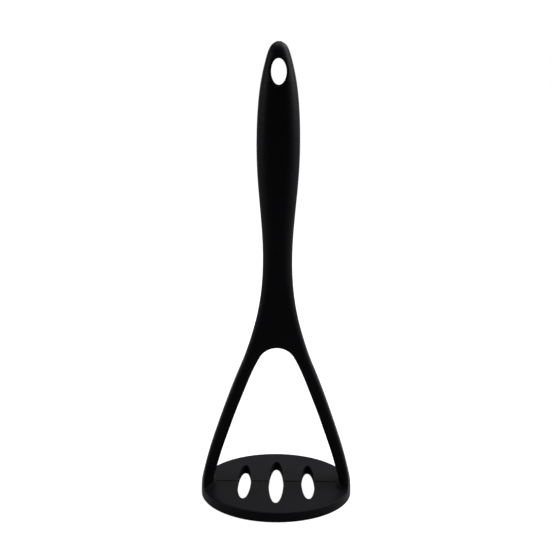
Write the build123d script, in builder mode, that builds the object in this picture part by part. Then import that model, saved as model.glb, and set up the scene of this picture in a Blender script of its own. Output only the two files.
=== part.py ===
from build123d import *
import math
import os

os.makedirs("parts", exist_ok=True)

# Potato masher: a black silicone skin moulded in one piece over a rigid skeleton.
# The skeleton is a pierced steel head plate, two bent steel arm straps tabbed into it,
# two rivets that join the straps back to back, and a nylon core moulded round their tangs.
# Z runs up the handle, X across the two arms, Y from front to back; the head rests on Z = 0.

# Overall sizes
total_height = 266.6
head_diameter = 90.0
head_thickness = 5.8
crotch_height = 90.7
grip_width = 24.75
grip_depth = 18.6
arm_width = 7.4
arm_depth = 13.0

# Head: rounded edges, slots, and the mould parting line across its top
head_top_round = 1.1
head_bottom_round = 1.0
slot_edge_round = 0.5
centre_slot_width = 8.9
centre_slot_length = 61.6
side_slot_width = 7.9
side_slot_length = 49.8
side_slot_spacing = 19.25
parting_line_width = 1.0
parting_line_depth = 0.6

# Handle end and its hanging hole
tip_width = 2.2
tip_depth = 2.2
hole_width = 8.8
hole_height = 15.0
hole_centre_drop = 16.7
hole_edge_round = 0.9

# Fork: the arch between the arms, and the arms' flared feet on the head
arm_edge_round = 2.7
arm_crown = 0.3
arch_radius = 11.6
arch_half_angle = 60.0
foot_depth = 27.0
foot_width = 6.95
foot_inner_crown = 3.8
foot_edge_round = 0.45
cove_radius = 1.5

# Walls of the skin over the skeleton
skin_wall = 2.0
rim_wall = 1.6
bore_wall = 1.0
slot_wall = 1.6
base_wall = 2.0

# Steel head plate, arm straps and rivets
plate_thickness = 1.5
key_hole_diameter = 4.0
key_hole_circle = 70.0
key_hole_count = 8
strap_thickness = 2.0
strap_depth = 7.0
strap_foot_depth = 17.0
strap_foot_height = 9.0
strap_flare_height = 22.0
strap_foot_wall = 3.3
tab_width = 4.0
tab_spacing = 11.0
tang_start_height = 130.0
tang_top_height = 192.0
rivet_diameter = 3.0
rivet_head_diameter = 5.2
rivet_head_height = 1.2
lower_rivet_height = 148.0
upper_rivet_height = 176.0

# Nylon core
core_bottom_height = 96.0
core_tip_width = 3.2
core_tip_depth = 3.2

# One overrun serves every through cut
overrun = 5.0

head_radius = head_diameter / 2
head_middle = head_thickness / 2
ankle_height = head_thickness + cove_radius
fork_height = crotch_height - ankle_height
handle_height = total_height - crotch_height
hole_centre_height = total_height - hole_centre_drop
plate_top = base_wall + plate_thickness

# Outline of the fork: height as a share of the fork's height over its feet, half width as a
# share of the head's radius, and flare from plain arm (0) to foot (1)
fork_outline_shares = (
    (0.000, 0.9971, 1.00),
    (0.047, 0.9811, 0.66),
    (0.091, 0.9618, 0.44),
    (0.190, 0.9140, 0.20),
    (0.314, 0.8449, 0.08),
    (0.435, 0.7698, 0.03),
    (0.520, 0.7158, 0.01),
    (0.556, 0.6924, 0.00),
    (0.675, 0.6100, 0.00),
    (0.796, 0.5222, 0.00),
    (0.915, 0.4324, 0.00),
)
split_station = 8

# Cove at the arm's foot, which ends in a narrow raised ledge and a small step: height over the
# head and growth, as shares of the cove's radius
cove_shares = ((0.66, 0.10), (0.46, 0.28), (0.38, 0.52), (0.34, 0.80), (0.24, 0.95), (0.00, 1.00))

# Outline of the handle: height as a share of its height over the crotch, half width as a
# share of the grip's half width, half depth as a share of the grip's, roundness as a share
# of the half depth
handle_outline_shares = (
    (0.023, 1.270, 0.700, 0.47),
    (0.091, 1.007, 0.705, 0.58),
    (0.160, 0.822, 0.725, 0.70),
    (0.228, 0.721, 0.750, 0.80),
    (0.295, 0.688, 0.775, 0.86),
    (0.395, 0.742, 0.850, 0.90),
    (0.494, 0.864, 0.935, 0.92),
    (0.592, 0.970, 0.985, 0.93),
    (0.688, 1.000, 1.000, 0.93),
    (0.783, 0.954, 0.970, 0.93),
    (0.878, 0.803, 0.870, 0.93),
    (0.940, 0.608, 0.720, 0.90),
    (0.971, 0.473, 0.590, 0.92),
    (0.984, 0.383, 0.484, 0.94),
    (0.990, 0.312, 0.397, 0.95),
    (0.9955, 0.209, 0.268, 0.96),
)
tip_roundness_share = 0.96


def blend(plain, foot, flare):
    """A size of the arm between its plain value and its value at the foot."""
    return plain + flare * (foot - plain)


def fork_edge(station):
    """Outer edge of the right arm at a station, as (x, z)."""
    height_share, width_share, flare = fork_outline_shares[station]
    return width_share * head_radius, ankle_height + height_share * fork_height


def arm_level_width(station):
    """Width of the arm on a level plane, where a leaning arm is cut on the slant."""
    x_below, z_below = fork_edge(max(station - 1, 0))
    x_above, z_above = fork_edge(min(station + 1, len(fork_outline_shares) - 1))
    lean = (x_below - x_above) / (z_above - z_below)
    return blend(arm_width * math.hypot(1, lean), foot_width, fork_outline_shares[station][2])


def arm_inner_edge(station):
    """Inner edge of the right arm at a station, as (x, z)."""
    outer, height = fork_edge(station)
    return outer - arm_level_width(station), height


def arm_section(inner, outer, height, flare, growth=0.0):
    """Level section of the right arm, grown inwards and lengthwise for the foot's cove."""
    half_depth = blend(arm_depth, foot_depth, flare) / 2 + growth
    rim_crown = outer - math.sqrt(outer**2 - half_depth**2)
    inner_end = inner - growth + blend(arm_crown, foot_inner_crown, flare)
    outer_end = outer - blend(arm_crown, rim_crown, flare)
    with BuildSketch(Plane.XY.offset(height)) as section:
        with BuildLine():
            ThreePointArc((inner_end, half_depth), (inner - growth, 0), (inner_end, -half_depth))
            Line((inner_end, -half_depth), (outer_end, -half_depth))
            ThreePointArc((outer_end, -half_depth), (outer, 0), (outer_end, half_depth))
            Line((outer_end, half_depth), (inner_end, half_depth))
        make_face()
        fillet(section.vertices(), radius=blend(arm_edge_round, foot_edge_round, flare))
    return section.sketch


def oval_section(height, half_width, half_depth, corner):
    """Level section of the handle: a rectangle with large rounded corners."""
    with BuildSketch(Plane.XY.offset(height)) as section:
        RectangleRounded(2 * half_width, 2 * half_depth, corner)
    return section.sketch


def body_sections(inset, lowest_station):
    """Level sections from the fork's crotch to below the handle's tip, all drawn in by the inset."""
    sections = []
    for station in range(lowest_station, len(fork_outline_shares)):
        outer, height = fork_edge(station)
        half_depth = arm_depth / 2 - inset
        sections.append(oval_section(height, outer - inset, half_depth, arm_edge_round))
    for height_share, width_share, depth_share, round_share in handle_outline_shares:
        height = crotch_height + height_share * handle_height
        if height > total_height - inset:
            break
        half_width = width_share * grip_width / 2 - inset
        half_depth = depth_share * grip_depth / 2 - inset
        sections.append(oval_section(height, half_width, half_depth, round_share * half_depth))
    return sections


# Window between the arms: an arch on two legs, drawn from the arms' inner edges
split_height = fork_edge(split_station)[1]
shoulder_angle = math.radians(arch_half_angle)
shoulder_x = arch_radius * math.sin(shoulder_angle)
shoulder_z = crotch_height - arch_radius * (1 - math.cos(shoulder_angle))
shoulder_tangent = (math.cos(shoulder_angle), -math.sin(shoulder_angle))
leg_points = [arm_inner_edge(station) for station in (9, 8, 7, 6)]
leg_tangent = (leg_points[-1][0] - leg_points[-2][0], leg_points[-1][1] - leg_points[-2][1])

# Path of the right strap's middle line: up from the plate, along the arm, into the handle
strap_foot_x = fork_edge(0)[0] - strap_foot_wall - strap_thickness / 2
tang_x = strap_thickness / 2
strap_path = [(strap_foot_x, ankle_height)]
for station in (3, 4, 5, 7, 8, 9):
    outer, height = fork_edge(station)
    strap_path.append((outer - arm_level_width(station) / 2, height))
strap_path.append((tang_x, tang_start_height))

# Outer form of the crotch and the handle
with BuildPart() as crotch_and_handle:
    tip_section = oval_section(
        total_height, tip_width / 2, tip_depth / 2, tip_roundness_share * tip_depth / 2
    )
    loft(body_sections(0, split_station - 2) + [tip_section])
    split(bisect_by=Plane.XY.offset(split_height), keep=Keep.TOP)
    with BuildSketch(Plane.XZ.offset(-(arm_depth / 2 + overrun))) as window:
        with BuildLine():
            ThreePointArc((-shoulder_x, shoulder_z), (0, crotch_height), (shoulder_x, shoulder_z))
            right_leg = Spline(
                [(shoulder_x, shoulder_z)] + leg_points, tangents=(shoulder_tangent, leg_tangent)
            )
            mirror(right_leg, about=Plane.YZ)
            Line(right_leg @ 1, (-(right_leg @ 1).X, (right_leg @ 1).Y))
        make_face()
    extrude(amount=arm_depth + 2 * overrun, mode=Mode.SUBTRACT)
    window_edges = (
        crotch_and_handle.edges(Select.NEW)
        .filter_by(lambda edge: abs(edge.center().Y) > arm_depth / 4)
        .filter_by(lambda edge: edge.center().Z > split_height + arm_edge_round / 2)
    )
    fillet(window_edges, radius=arm_edge_round)
    with BuildSketch(Plane.XZ.offset(-(grip_depth / 2 + overrun))):
        with Locations((0, hole_centre_height)):
            Ellipse(hole_width / 2, hole_height / 2)
    extrude(amount=grip_depth + 2 * overrun, mode=Mode.SUBTRACT)
    hole_edges = crotch_and_handle.edges(Select.NEW).filter_by(
        lambda edge: abs(edge.center().Y) > hole_width / 4
    )
    fillet(hole_edges, radius=hole_edge_round)

# Outer form of the right arm, from the crotch down to its foot and the cove round it
crotch_leg = crotch_and_handle.faces().sort_by(Axis.Z)[:2].sort_by(Axis.X)[-1]
foot_inner = arm_inner_edge(0)[0]
foot_outer = fork_edge(0)[0]
arm_sections = []
for station in reversed(range(split_station)):
    inner, height = arm_inner_edge(station)
    outer = fork_edge(station)[0]
    arm_sections.append(arm_section(inner, outer, height, fork_outline_shares[station][2]))
cove_sections = []
for height_share, growth_share in cove_shares:
    height = head_thickness + height_share * cove_radius
    growth = growth_share * cove_radius
    cove_sections.append(arm_section(foot_inner, foot_outer, height, 1.0, growth))
cove_sections.append(arm_section(foot_inner, foot_outer, head_middle, 1.0, cove_radius))

with BuildPart() as right_arm:
    loft([crotch_leg, arm_sections[0]], ruled=True)
    upper_leg = right_arm.faces().sort_by(Axis.Z)[0]
    loft([upper_leg] + arm_sections[1:])
    ankle = right_arm.faces().sort_by(Axis.Z)[0]
    loft([ankle] + cove_sections, ruled=True)


def slot_outlines(wall):
    """The three pointed slots of the head in one sketch, widened by a wall."""
    with BuildSketch() as outlines:
        Ellipse(centre_slot_width / 2 + wall, centre_slot_length / 2 + wall)
        with Locations((-side_slot_spacing, 0), (side_slot_spacing, 0)):
            Ellipse(side_slot_width / 2 + wall, side_slot_length / 2 + wall)
    return outlines.sketch


# Outer form of the head: a round pad with softened edges, three slots and a parting line
with BuildPart() as head:
    with BuildSketch(Plane.XZ) as head_profile:
        with Locations((head_radius / 2, head_middle)):
            Rectangle(head_radius, head_thickness)
        bottom_corner, top_corner = head_profile.vertices().group_by(Axis.X)[-1].sort_by(Axis.Y)
        fillet(top_corner, radius=head_top_round)
        fillet(bottom_corner, radius=head_bottom_round)
    revolve(axis=Axis.Z)
    extrude(slot_outlines(0), amount=head_thickness, mode=Mode.SUBTRACT)
    slot_rims = []
    for face in head.faces().filter_by(GeomType.PLANE):
        for rim in face.inner_wires():
            slot_rims += rim.edges()
    fillet(slot_rims, radius=slot_edge_round)
    with BuildSketch(Plane.XY.offset(head_thickness)):
        Rectangle(2 * (foot_inner - cove_radius), parting_line_width)
    extrude(amount=-parting_line_depth, mode=Mode.SUBTRACT)

# Whole outer form of the skin
with BuildPart() as outer_form:
    add(head.part)
    add(right_arm.part)
    mirror(right_arm.part, about=Plane.YZ)
    add(crotch_and_handle.part)

# Pierced steel plate inside the head, with slots for the tabs of the arm straps
with BuildPart() as head_plate:
    with BuildSketch(Plane.XY.offset(base_wall)):
        Circle(head_radius - rim_wall)
        add(slot_outlines(slot_wall), mode=Mode.SUBTRACT)
        with PolarLocations(key_hole_circle / 2, key_hole_count, start_angle=180 / key_hole_count):
            Circle(key_hole_diameter / 2, mode=Mode.SUBTRACT)
        with Locations((-strap_foot_x, 0), (strap_foot_x, 0)):
            with GridLocations(strap_thickness, tab_spacing, 1, 2):
                Rectangle(strap_thickness, tab_width, mode=Mode.SUBTRACT)
    extrude(amount=plate_thickness)
head_plate.part.label = "head_plate"

# Right arm strap: a steel strip on edge, bent along the arm and up into the handle. Its blank
# has a flared foot that stands on the plate, two tabs that pass through it, and rivet holes.
with BuildPart() as arm_strap_right:
    with BuildSketch(Plane.XZ):
        with BuildLine() as strap_line:
            Line((strap_foot_x, base_wall), (strap_foot_x, ankle_height))
            strap_bend = Spline(strap_path, tangents=((0, 1), (0, 1)))
            Line(strap_bend @ 1, (tang_x, tang_top_height))
        trace(strap_line.edges(), strap_thickness)
    extrude(amount=strap_foot_depth / 2, both=True)
    with BuildSketch(Plane.YZ):
        with BuildLine() as blank_outline:
            Polyline(
                (0, tang_top_height),
                (strap_depth / 2, tang_top_height),
                (strap_depth / 2, strap_flare_height),
                (strap_foot_depth / 2, strap_foot_height),
                (strap_foot_depth / 2, plate_top),
                ((tab_spacing + tab_width) / 2, plate_top),
                ((tab_spacing + tab_width) / 2, base_wall),
                ((tab_spacing - tab_width) / 2, base_wall),
                ((tab_spacing - tab_width) / 2, plate_top),
                (0, plate_top),
            )
            mirror(about=Plane.YZ)
        make_face()
    extrude(amount=head_radius, mode=Mode.INTERSECT)
    with BuildSketch(Plane.YZ):
        with Locations((0, lower_rivet_height), (0, upper_rivet_height)):
            Circle(rivet_diameter / 2)
    extrude(amount=head_radius, mode=Mode.SUBTRACT)
arm_strap_right.part.label = "arm_strap_right"

# Left arm strap: the right one mirrored, back to back with it in the handle
with BuildPart() as arm_strap_left:
    mirror(arm_strap_right.part, about=Plane.YZ)
arm_strap_left.part.label = "arm_strap_left"

# Two steel rivets through both straps, with a low head at each end
with BuildPart() as strap_rivets:
    with BuildSketch(Plane.YZ):
        with Locations((0, lower_rivet_height), (0, upper_rivet_height)):
            Circle(rivet_diameter / 2)
    extrude(amount=strap_thickness, both=True)
    for side in (-1, 1):
        with BuildSketch(Plane.YZ.offset(side * strap_thickness)):
            with Locations((0, lower_rivet_height), (0, upper_rivet_height)):
                Circle(rivet_head_diameter / 2)
        extrude(amount=side * rivet_head_height)
strap_rivets.part.label = "strap_rivets"

# Nylon core of the crotch and handle, moulded round the two tangs and their rivets
with BuildPart() as handle_core:
    core_tip = oval_section(
        total_height - skin_wall,
        core_tip_width / 2,
        core_tip_depth / 2,
        tip_roundness_share * core_tip_depth / 2,
    )
    loft(body_sections(skin_wall, split_station) + [core_tip])
    split(bisect_by=Plane.XY.offset(core_bottom_height), keep=Keep.TOP)
    with BuildSketch(Plane.XZ):
        with Locations((0, hole_centre_height)):
            Ellipse(hole_width / 2 + bore_wall, hole_height / 2 + bore_wall)
    extrude(amount=grip_depth, both=True, mode=Mode.SUBTRACT)
    add(arm_strap_left.part, mode=Mode.SUBTRACT)
    add(arm_strap_right.part, mode=Mode.SUBTRACT)
    add(strap_rivets.part, mode=Mode.SUBTRACT)
handle_core.part.label = "handle_core"

# Silicone skin: the outer form moulded over the whole skeleton and through the plate's holes
with BuildPart() as silicone_skin:
    add(outer_form.part)
    add(head_plate.part, mode=Mode.SUBTRACT)
    add(arm_strap_left.part, mode=Mode.SUBTRACT)
    add(arm_strap_right.part, mode=Mode.SUBTRACT)
    add(strap_rivets.part, mode=Mode.SUBTRACT)
    add(handle_core.part, mode=Mode.SUBTRACT)
silicone_skin.part.label = "silicone_skin"

export_step(silicone_skin.part, "parts/silicone_skin.step")
export_step(head_plate.part, "parts/head_plate.step")
export_step(arm_strap_left.part, "parts/arm_strap_left.step")
export_step(arm_strap_right.part, "parts/arm_strap_right.step")
export_step(strap_rivets.part, "parts/strap_rivets.step")
export_step(handle_core.part, "parts/handle_core.step")
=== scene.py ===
import math

import bpy
from mathutils import Matrix, Vector


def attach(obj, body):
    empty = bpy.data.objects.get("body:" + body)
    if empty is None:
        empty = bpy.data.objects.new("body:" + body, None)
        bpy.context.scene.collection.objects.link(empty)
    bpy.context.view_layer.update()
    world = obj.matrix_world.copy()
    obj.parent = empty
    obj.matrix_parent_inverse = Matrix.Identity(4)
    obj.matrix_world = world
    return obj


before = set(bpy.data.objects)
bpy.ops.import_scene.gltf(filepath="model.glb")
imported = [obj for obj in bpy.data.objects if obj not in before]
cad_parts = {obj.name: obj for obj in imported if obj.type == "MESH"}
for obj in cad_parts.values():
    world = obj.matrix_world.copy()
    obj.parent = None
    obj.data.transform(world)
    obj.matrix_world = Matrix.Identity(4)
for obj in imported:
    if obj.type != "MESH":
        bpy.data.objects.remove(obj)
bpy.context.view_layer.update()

MM = 0.001
UP = Vector((0, 0, 1))
BODY = "root"

# Camera: the photograph's view of the masher, in millimetres and degrees
CAMERA_PLACE = (5.3, -615.1, 268.8)
CAMERA_HEADING = 0.6
CAMERA_PITCH = 12.41
CAMERA_ROLL = 0.353
CAMERA_LENS = 70.84
SENSOR_WIDTH = 36.0

# Floor and world: the floor's lift runs from near to far over its reach in metres
FLOOR_RADIUS = 3.0
FLOOR_OPENING = 45.2 * MM
FLOOR_STEPS = 180
FLOOR_COLOUR = (0.3, 0.3, 0.3, 1)
FLOOR_LIFT_NEAR = 0.78
FLOOR_LIFT_FAR = 1.0
FLOOR_LIFT_REACH = (0.12, 0.45)
FLOOR_IN_REFLECTIONS = 0.45
WHITE = (1, 1, 1, 1)
FILL_STRENGTH = 0.03
BACK_IN_REFLECTIONS = 0.85
BACK_DIRECTIONS = (-0.1, 0.6)
BACK_HEIGHTS = (0.30, 0.55)

# Lamps: name, place in metres, aim in metres, width and height in metres, power in watts
LAMPS = (
    ("right_softbox", (0.75, 0.05, 0.50), (0, 0, 0.18), 0.5, 0.5, 9.0),
    ("left_softbox", (-0.78, -0.12, 0.42), (0, 0, 0.14), 0.35, 0.5, 4.0),
    ("top_softbox", (0.0, 0.15, 0.95), (0, 0, 0), 0.6, 0.6, 8.0),
    ("top_right_softbox", (0.14, 0.06, 0.42), (0, 0, 0.24), 0.12, 0.12, 1.0),
)

# Noise: the range that its values mostly keep to, and its usual and its rough kind
NOISE_RANGE = (0.3, 0.7)
SMOOTH_NOISE = 0.5
ROUGH_NOISE = 0.7

# Silicone: colours, shine, and the scale of its texture per metre
SILICONE_COLOUR = (0.0018, 0.0018, 0.0026, 1)
SILICONE_DUST_COLOUR = (0.0026, 0.0027, 0.0036, 1)
SILICONE_ROUGHNESS = (0.42, 0.52)
SILICONE_IOR = 1.41
SILICONE_SPECULAR = 0.05
MOTTLE_PER_METRE = 90
MOTTLE_DETAIL = 4
GRAIN_PER_METRE = 2600
GRAIN_DETAIL = 2
GRAIN_HEIGHT = 0.03 * MM
SEAM_WIDTH = 0.22 * MM
SEAM_HEIGHT = 0.08 * MM

# Walls of the openings and the parting groove, and the underside: duller than the other faces
DULL_ROUGHNESS = 1.0
HOLE_HALF_WIDTH = 4.7 * MM
HOLE_HALF_LENGTH = 7.9 * MM
HOLE_HEIGHT = 249.9 * MM
SLOT_WALL_TOP = 5.4 * MM
SLOT_WALL_REACH = 42.5 * MM
GROOVE_HALF_WIDTH = 0.65 * MM
GROOVE_TOP = 6.0 * MM
DULL_BORDER = 0.2 * MM

# Inner metal and plastic
STRAP_BRIGHTNESS, STRAP_GRAIN = 0.6, 900
PLATE_BRIGHTNESS, PLATE_GRAIN = 0.62, 700
RIVET_BRIGHTNESS, RIVET_GRAIN = 0.66, 1500
STEEL_GRAIN_DETAIL = 6
STEEL_DARK_SHARE = 0.8
STEEL_TINT = 1.01
STEEL_ROUGHNESS = (0.28, 0.42)
STEEL_GRAIN_HEIGHT = 0.01 * MM
NYLON_PER_METRE = 400
NYLON_DETAIL = 5
NYLON_COLOUR = (0.03, 0.03, 0.03, 1)
NYLON_CLOUD_COLOUR = (0.05, 0.05, 0.05, 1)
NYLON_ROUGHNESS = (0.45, 0.6)
NYLON_GRAIN_HEIGHT = 0.02 * MM

# Foot lips: the bead along each foot's inner edge, its path over the head and its radius, in millimetres
LIP_CREST = 37.65
LIP_RUN_OUT = 3.23
LIP_CURVE = 2.2
LIP_HALF_LENGTH = 15.6
LIP_TAPER = 4.0
LIP_HEIGHT = 6.55
LIP_DROP = 0.75
LIP_RADIUS = 0.58
LIP_END_RADIUS = 0.08
LIP_STEPS = 72
LIP_SIDES = 14


def new_material(name):
    """An empty node material with its shader, as (material, node tree, shader)."""
    material = bpy.data.materials.new(name)
    material.use_nodes = True
    tree = material.node_tree
    tree.nodes.clear()
    shader = tree.nodes.new("ShaderNodeBsdfPrincipled")
    output = tree.nodes.new("ShaderNodeOutputMaterial")
    tree.links.new(shader.outputs["BSDF"], output.inputs["Surface"])
    return material, tree, shader


def math_node(tree, operation, first, second=None):
    """A math node fed by sockets or numbers, as its output socket."""
    node = tree.nodes.new("ShaderNodeMath")
    node.operation = operation
    for socket, value in zip(node.inputs, (first, second)):
        if isinstance(value, bpy.types.NodeSocket):
            tree.links.new(value, socket)
        elif value is not None:
            socket.default_value = value
    return node.outputs[0]


def object_place(tree):
    """The object's own coordinates, as a vector socket."""
    return tree.nodes.new("ShaderNodeTexCoord").outputs["Object"]


def axes(tree, vector):
    """The three coordinates of a vector socket, as sockets by name."""
    split = tree.nodes.new("ShaderNodeSeparateXYZ")
    tree.links.new(vector, split.inputs["Vector"])
    return split.outputs


def length(tree, vector):
    """The length of a vector socket, as a value socket."""
    node = tree.nodes.new("ShaderNodeVectorMath")
    node.operation = "LENGTH"
    tree.links.new(vector, node.inputs[0])
    return node.outputs["Value"]


def noise(tree, per_metre, detail, roughness=SMOOTH_NOISE):
    """Noise in the object's own space, as its value socket."""
    node = tree.nodes.new("ShaderNodeTexNoise")
    node.inputs["Scale"].default_value = per_metre
    node.inputs["Detail"].default_value = detail
    node.inputs["Roughness"].default_value = roughness
    tree.links.new(object_place(tree), node.inputs["Vector"])
    return node.outputs["Fac"]


def spread(tree, value, low, high, source=NOISE_RANGE):
    """A value mapped from its source range to another, as a socket."""
    node = tree.nodes.new("ShaderNodeMapRange")
    tree.links.new(value, node.inputs["Value"])
    node.inputs["From Min"].default_value = source[0]
    node.inputs["From Max"].default_value = source[1]
    node.inputs["To Min"].default_value = low
    node.inputs["To Max"].default_value = high
    return node.outputs["Result"]


def blended_colours(tree, factor, first, second):
    """Two colours mixed by a factor socket."""
    node = tree.nodes.new("ShaderNodeMix")
    node.data_type = "RGBA"
    tree.links.new(factor, node.inputs["Factor"])
    node.inputs["A"].default_value = first
    node.inputs["B"].default_value = second
    return node.outputs["Result"]


def bump(tree, shader, height, distance):
    """A bump on the shader from a height socket, with its full height in metres."""
    node = tree.nodes.new("ShaderNodeBump")
    node.inputs["Strength"].default_value = 1
    node.inputs["Distance"].default_value = distance
    tree.links.new(height, node.inputs["Height"])
    tree.links.new(node.outputs["Normal"], shader.inputs["Normal"])


def seam_line(tree):
    """One along the mould's parting plane, and zero off it."""
    off_plane = math_node(tree, "ABSOLUTE", axes(tree, object_place(tree))["Y"])
    return spread(tree, off_plane, 1, 0, (0, SEAM_WIDTH))


def under(tree, value, limit):
    """One where a value is under its limit, fading to zero over a narrow border."""
    return spread(tree, value, 1, 0, (limit - DULL_BORDER, limit))


def opening_walls(tree):
    """One on the walls of the hanging hole, the slots and the parting groove, and on the underside.

    It is zero elsewhere, apart from the corners of the handle's faces right beside the hanging hole and
    the line of the groove down the head's rim.
    """
    place = axes(tree, object_place(tree))
    across = under(tree, math_node(tree, "ABSOLUTE", place["X"]), HOLE_HALF_WIDTH)
    off_centre = math_node(tree, "ABSOLUTE", math_node(tree, "SUBTRACT", place["Z"], HOLE_HEIGHT))
    hole = math_node(tree, "MULTIPLY", across, under(tree, off_centre, HOLE_HALF_LENGTH))
    low = under(tree, place["Z"], SLOT_WALL_TOP)
    slots = math_node(tree, "MULTIPLY", low, under(tree, length(tree, object_place(tree)), SLOT_WALL_REACH))
    groove = under(tree, math_node(tree, "ABSOLUTE", place["Y"]), GROOVE_HALF_WIDTH)
    groove = math_node(tree, "MULTIPLY", groove, under(tree, place["Z"], GROOVE_TOP))
    return math_node(tree, "MAXIMUM", math_node(tree, "MAXIMUM", hole, slots), groove)


def silicone_material():
    """Matte black silicone: a faint mottle, a fine moulded grain, the mould's seam and duller openings."""
    material, tree, shader = new_material("silicone_matte_black")
    mottle = noise(tree, MOTTLE_PER_METRE, MOTTLE_DETAIL)
    colour = blended_colours(tree, spread(tree, mottle, 0, 1), SILICONE_COLOUR, SILICONE_DUST_COLOUR)
    tree.links.new(colour, shader.inputs["Base Color"])
    dull = math_node(tree, "MULTIPLY", opening_walls(tree), DULL_ROUGHNESS)
    roughness = math_node(tree, "MAXIMUM", spread(tree, mottle, *SILICONE_ROUGHNESS), dull)
    tree.links.new(roughness, shader.inputs["Roughness"])
    shader.inputs["IOR"].default_value = SILICONE_IOR
    shader.inputs["Specular IOR Level"].default_value = SILICONE_SPECULAR
    grain = noise(tree, GRAIN_PER_METRE, GRAIN_DETAIL)
    seam = math_node(tree, "MULTIPLY", seam_line(tree), SEAM_HEIGHT / GRAIN_HEIGHT)
    bump(tree, shader, math_node(tree, "ADD", grain, seam), GRAIN_HEIGHT)
    return material


def steel_material(name, brightness, grain_per_metre):
    """Mill-finished stainless steel with a fine uneven grain."""
    material, tree, shader = new_material(name)
    grain = noise(tree, grain_per_metre, STEEL_GRAIN_DETAIL, ROUGH_NOISE)
    light = (brightness, brightness, STEEL_TINT * brightness, 1)
    dark = tuple(STEEL_DARK_SHARE * channel for channel in light[:3]) + (1,)
    colour = blended_colours(tree, spread(tree, grain, 0, 1), dark, light)
    tree.links.new(colour, shader.inputs["Base Color"])
    tree.links.new(spread(tree, grain, *STEEL_ROUGHNESS), shader.inputs["Roughness"])
    shader.inputs["Metallic"].default_value = 1
    bump(tree, shader, grain, STEEL_GRAIN_HEIGHT)
    return material


def nylon_material():
    """Black glass-filled nylon, slightly cloudy."""
    material, tree, shader = new_material("nylon_glass_filled")
    cloud = noise(tree, NYLON_PER_METRE, NYLON_DETAIL)
    colour = blended_colours(tree, spread(tree, cloud, 0, 1), NYLON_COLOUR, NYLON_CLOUD_COLOUR)
    tree.links.new(colour, shader.inputs["Base Color"])
    tree.links.new(spread(tree, cloud, *NYLON_ROUGHNESS), shader.inputs["Roughness"])
    bump(tree, shader, cloud, NYLON_GRAIN_HEIGHT)
    return material


def dress(node, material):
    """Gives a CAD node its material."""
    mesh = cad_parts[node].data
    mesh.materials.clear()
    mesh.materials.append(material)


def dress_nodes(silicone):
    """Materials of all the CAD nodes."""
    strap_steel = steel_material("strap_steel_mill", STRAP_BRIGHTNESS, STRAP_GRAIN)
    dress("silicone_skin", silicone)
    dress("head_plate", steel_material("plate_steel_mill", PLATE_BRIGHTNESS, PLATE_GRAIN))
    dress("arm_strap_left", strap_steel)
    dress("arm_strap_right", strap_steel)
    dress("strap_rivets", steel_material("rivet_steel_bright", RIVET_BRIGHTNESS, RIVET_GRAIN))
    dress("handle_core", nylon_material())


def lip_path(side):
    """The lip's centre line round one foot's inner edge, as (point, radius) pairs in millimetres."""
    path = []
    for step in range(LIP_STEPS + 1):
        along = LIP_HALF_LENGTH * (2 * step / LIP_STEPS - 1)
        share = abs(along) / LIP_HALF_LENGTH
        across = LIP_CREST + LIP_RUN_OUT * share ** LIP_CURVE
        up = LIP_HEIGHT - LIP_DROP * share ** 2
        swell = math.sin(math.pi / 2 * min(1.0, (LIP_HALF_LENGTH - abs(along)) / LIP_TAPER))
        radius = LIP_END_RADIUS + (LIP_RADIUS - LIP_END_RADIUS) * swell
        path.append((Vector((side * across, along, up)), radius))
    return path


def tube_mesh(name, path):
    """A closed round tube along a nearly level path of (point, radius) pairs in millimetres."""
    points = []
    for index, (centre, radius) in enumerate(path):
        before = path[max(index - 1, 0)][0]
        after = path[min(index + 1, len(path) - 1)][0]
        sideways = (after - before).normalized().cross(UP)
        for side in range(LIP_SIDES):
            turn = math.tau * side / LIP_SIDES
            offset = math.cos(turn) * sideways + math.sin(turn) * UP
            points.append(MM * (centre + radius * offset))
    faces = []
    for ring in range(len(path) - 1):
        for side in range(LIP_SIDES):
            start, beside = ring * LIP_SIDES, (side + 1) % LIP_SIDES
            faces.append((start + side, start + LIP_SIDES + side, start + LIP_SIDES + beside, start + beside))
    last = (len(path) - 1) * LIP_SIDES
    faces.append(tuple(range(LIP_SIDES)))
    faces.append(tuple(reversed(range(last, last + LIP_SIDES))))
    mesh = bpy.data.meshes.new(name)
    mesh.from_pydata([tuple(point) for point in points], [], faces)
    mesh.shade_smooth()
    return mesh


def make_foot_lips(silicone):
    """The raised lip round the inner edge of each foot."""
    for name, side in (("foot_lip_left", -1), ("foot_lip_right", 1)):
        mesh = tube_mesh(name, lip_path(side))
        mesh.materials.append(silicone)
        lip = bpy.data.objects.new(name, mesh)
        bpy.context.scene.collection.objects.link(lip)
        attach(lip, BODY)


def seen_share(tree, in_reflections):
    """One for the camera's rays and those through glass, and the given share for reflections."""
    rays = tree.nodes.new("ShaderNodeLightPath")
    glossy = math_node(tree, "MULTIPLY", rays.outputs["Is Glossy Ray"], in_reflections)
    seen = math_node(tree, "MAXIMUM", rays.outputs["Is Camera Ray"], rays.outputs["Is Transmission Ray"])
    return math_node(tree, "MAXIMUM", seen, glossy)


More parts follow.
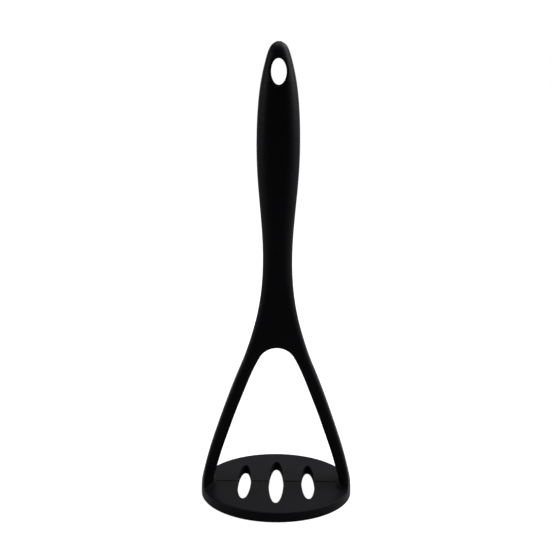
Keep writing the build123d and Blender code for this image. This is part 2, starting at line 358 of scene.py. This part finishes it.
def make_floor():
    """A white floor that shows as plain white, apart from the masher's own shadow.

    It is open under the head, so that the two faces don't lie in one plane and the underside shows.
    """
    points = []
    for radius in (FLOOR_OPENING, FLOOR_RADIUS):
        for step in range(FLOOR_STEPS):
            turn = math.tau * step / FLOOR_STEPS
            points.append((radius * math.cos(turn), radius * math.sin(turn), 0))
    faces = []
    for step in range(FLOOR_STEPS):
        beside = (step + 1) % FLOOR_STEPS
        faces.append((step, FLOOR_STEPS + step, FLOOR_STEPS + beside, beside))
    mesh = bpy.data.meshes.new("floor")
    mesh.from_pydata(points, [], faces)
    floor = bpy.data.objects.new("floor", mesh)
    bpy.context.scene.collection.objects.link(floor)
    material, tree, shader = new_material("floor_white")
    shader.inputs["Base Color"].default_value = FLOOR_COLOUR
    shader.inputs["Roughness"].default_value = 1
    shader.inputs["Specular IOR Level"].default_value = 0
    shader.inputs["Emission Color"].default_value = WHITE
    reach = length(tree, object_place(tree))
    lift = spread(tree, reach, FLOOR_LIFT_NEAR, FLOOR_LIFT_FAR, FLOOR_LIFT_REACH)
    strength = math_node(tree, "MULTIPLY", seen_share(tree, FLOOR_IN_REFLECTIONS), lift)
    tree.links.new(strength, shader.inputs["Emission Strength"])
    mesh.materials.append(material)


def make_world():
    """White behind the masher for the camera and for its reflections, and a weak grey fill elsewhere."""
    world = bpy.data.worlds.new("studio")
    bpy.context.scene.world = world
    world.use_nodes = True
    tree = world.node_tree
    tree.nodes.clear()
    output = tree.nodes.new("ShaderNodeOutputWorld")
    background = tree.nodes.new("ShaderNodeBackground")
    background.inputs["Color"].default_value = WHITE
    direction = axes(tree, tree.nodes.new("ShaderNodeTexCoord").outputs["Generated"])
    behind = spread(tree, direction["Y"], 0, 1, BACK_DIRECTIONS)
    low = spread(tree, direction["Z"], 1, 0, BACK_HEIGHTS)
    reflected = math_node(tree, "MULTIPLY", math_node(tree, "MULTIPLY", behind, low), BACK_IN_REFLECTIONS)
    strength = math_node(tree, "MAXIMUM", seen_share(tree, reflected), FILL_STRENGTH)
    tree.links.new(strength, background.inputs["Strength"])
    tree.links.new(background.outputs["Background"], output.inputs["Surface"])


def make_lamps():
    """The studio's softboxes."""
    for name, place, aim, width, height, power in LAMPS:
        light = bpy.data.lights.new(name, "AREA")
        light.shape = "RECTANGLE"
        light.size = width
        light.size_y = height
        light.energy = power
        lamp = bpy.data.objects.new(name, light)
        bpy.context.scene.collection.objects.link(lamp)
        lamp.location = place
        lamp.rotation_euler = (Vector(aim) - Vector(place)).to_track_quat("-Z", "Y").to_euler()


def make_camera():
    """The camera at the photograph's viewing angle."""
    data = bpy.data.cameras.new("camera")
    data.lens = CAMERA_LENS
    data.sensor_width = SENSOR_WIDTH
    camera = bpy.data.objects.new("camera", data)
    bpy.context.scene.collection.objects.link(camera)
    heading = Matrix.Rotation(math.radians(CAMERA_HEADING), 4, "Z")
    tilt = Matrix.Rotation(math.radians(90 - CAMERA_PITCH), 4, "X")
    roll = Matrix.Rotation(math.radians(CAMERA_ROLL), 4, "Z")
    place = Matrix.Translation(MM * Vector(CAMERA_PLACE))
    camera.matrix_world = place @ heading @ tilt @ roll
    bpy.context.scene.camera = camera


silicone = silicone_material()
dress_nodes(silicone)
make_foot_lips(silicone)
make_floor()
make_world()
make_lamps()
make_camera()
bpy.context.scene.view_settings.view_transform = "Standard"
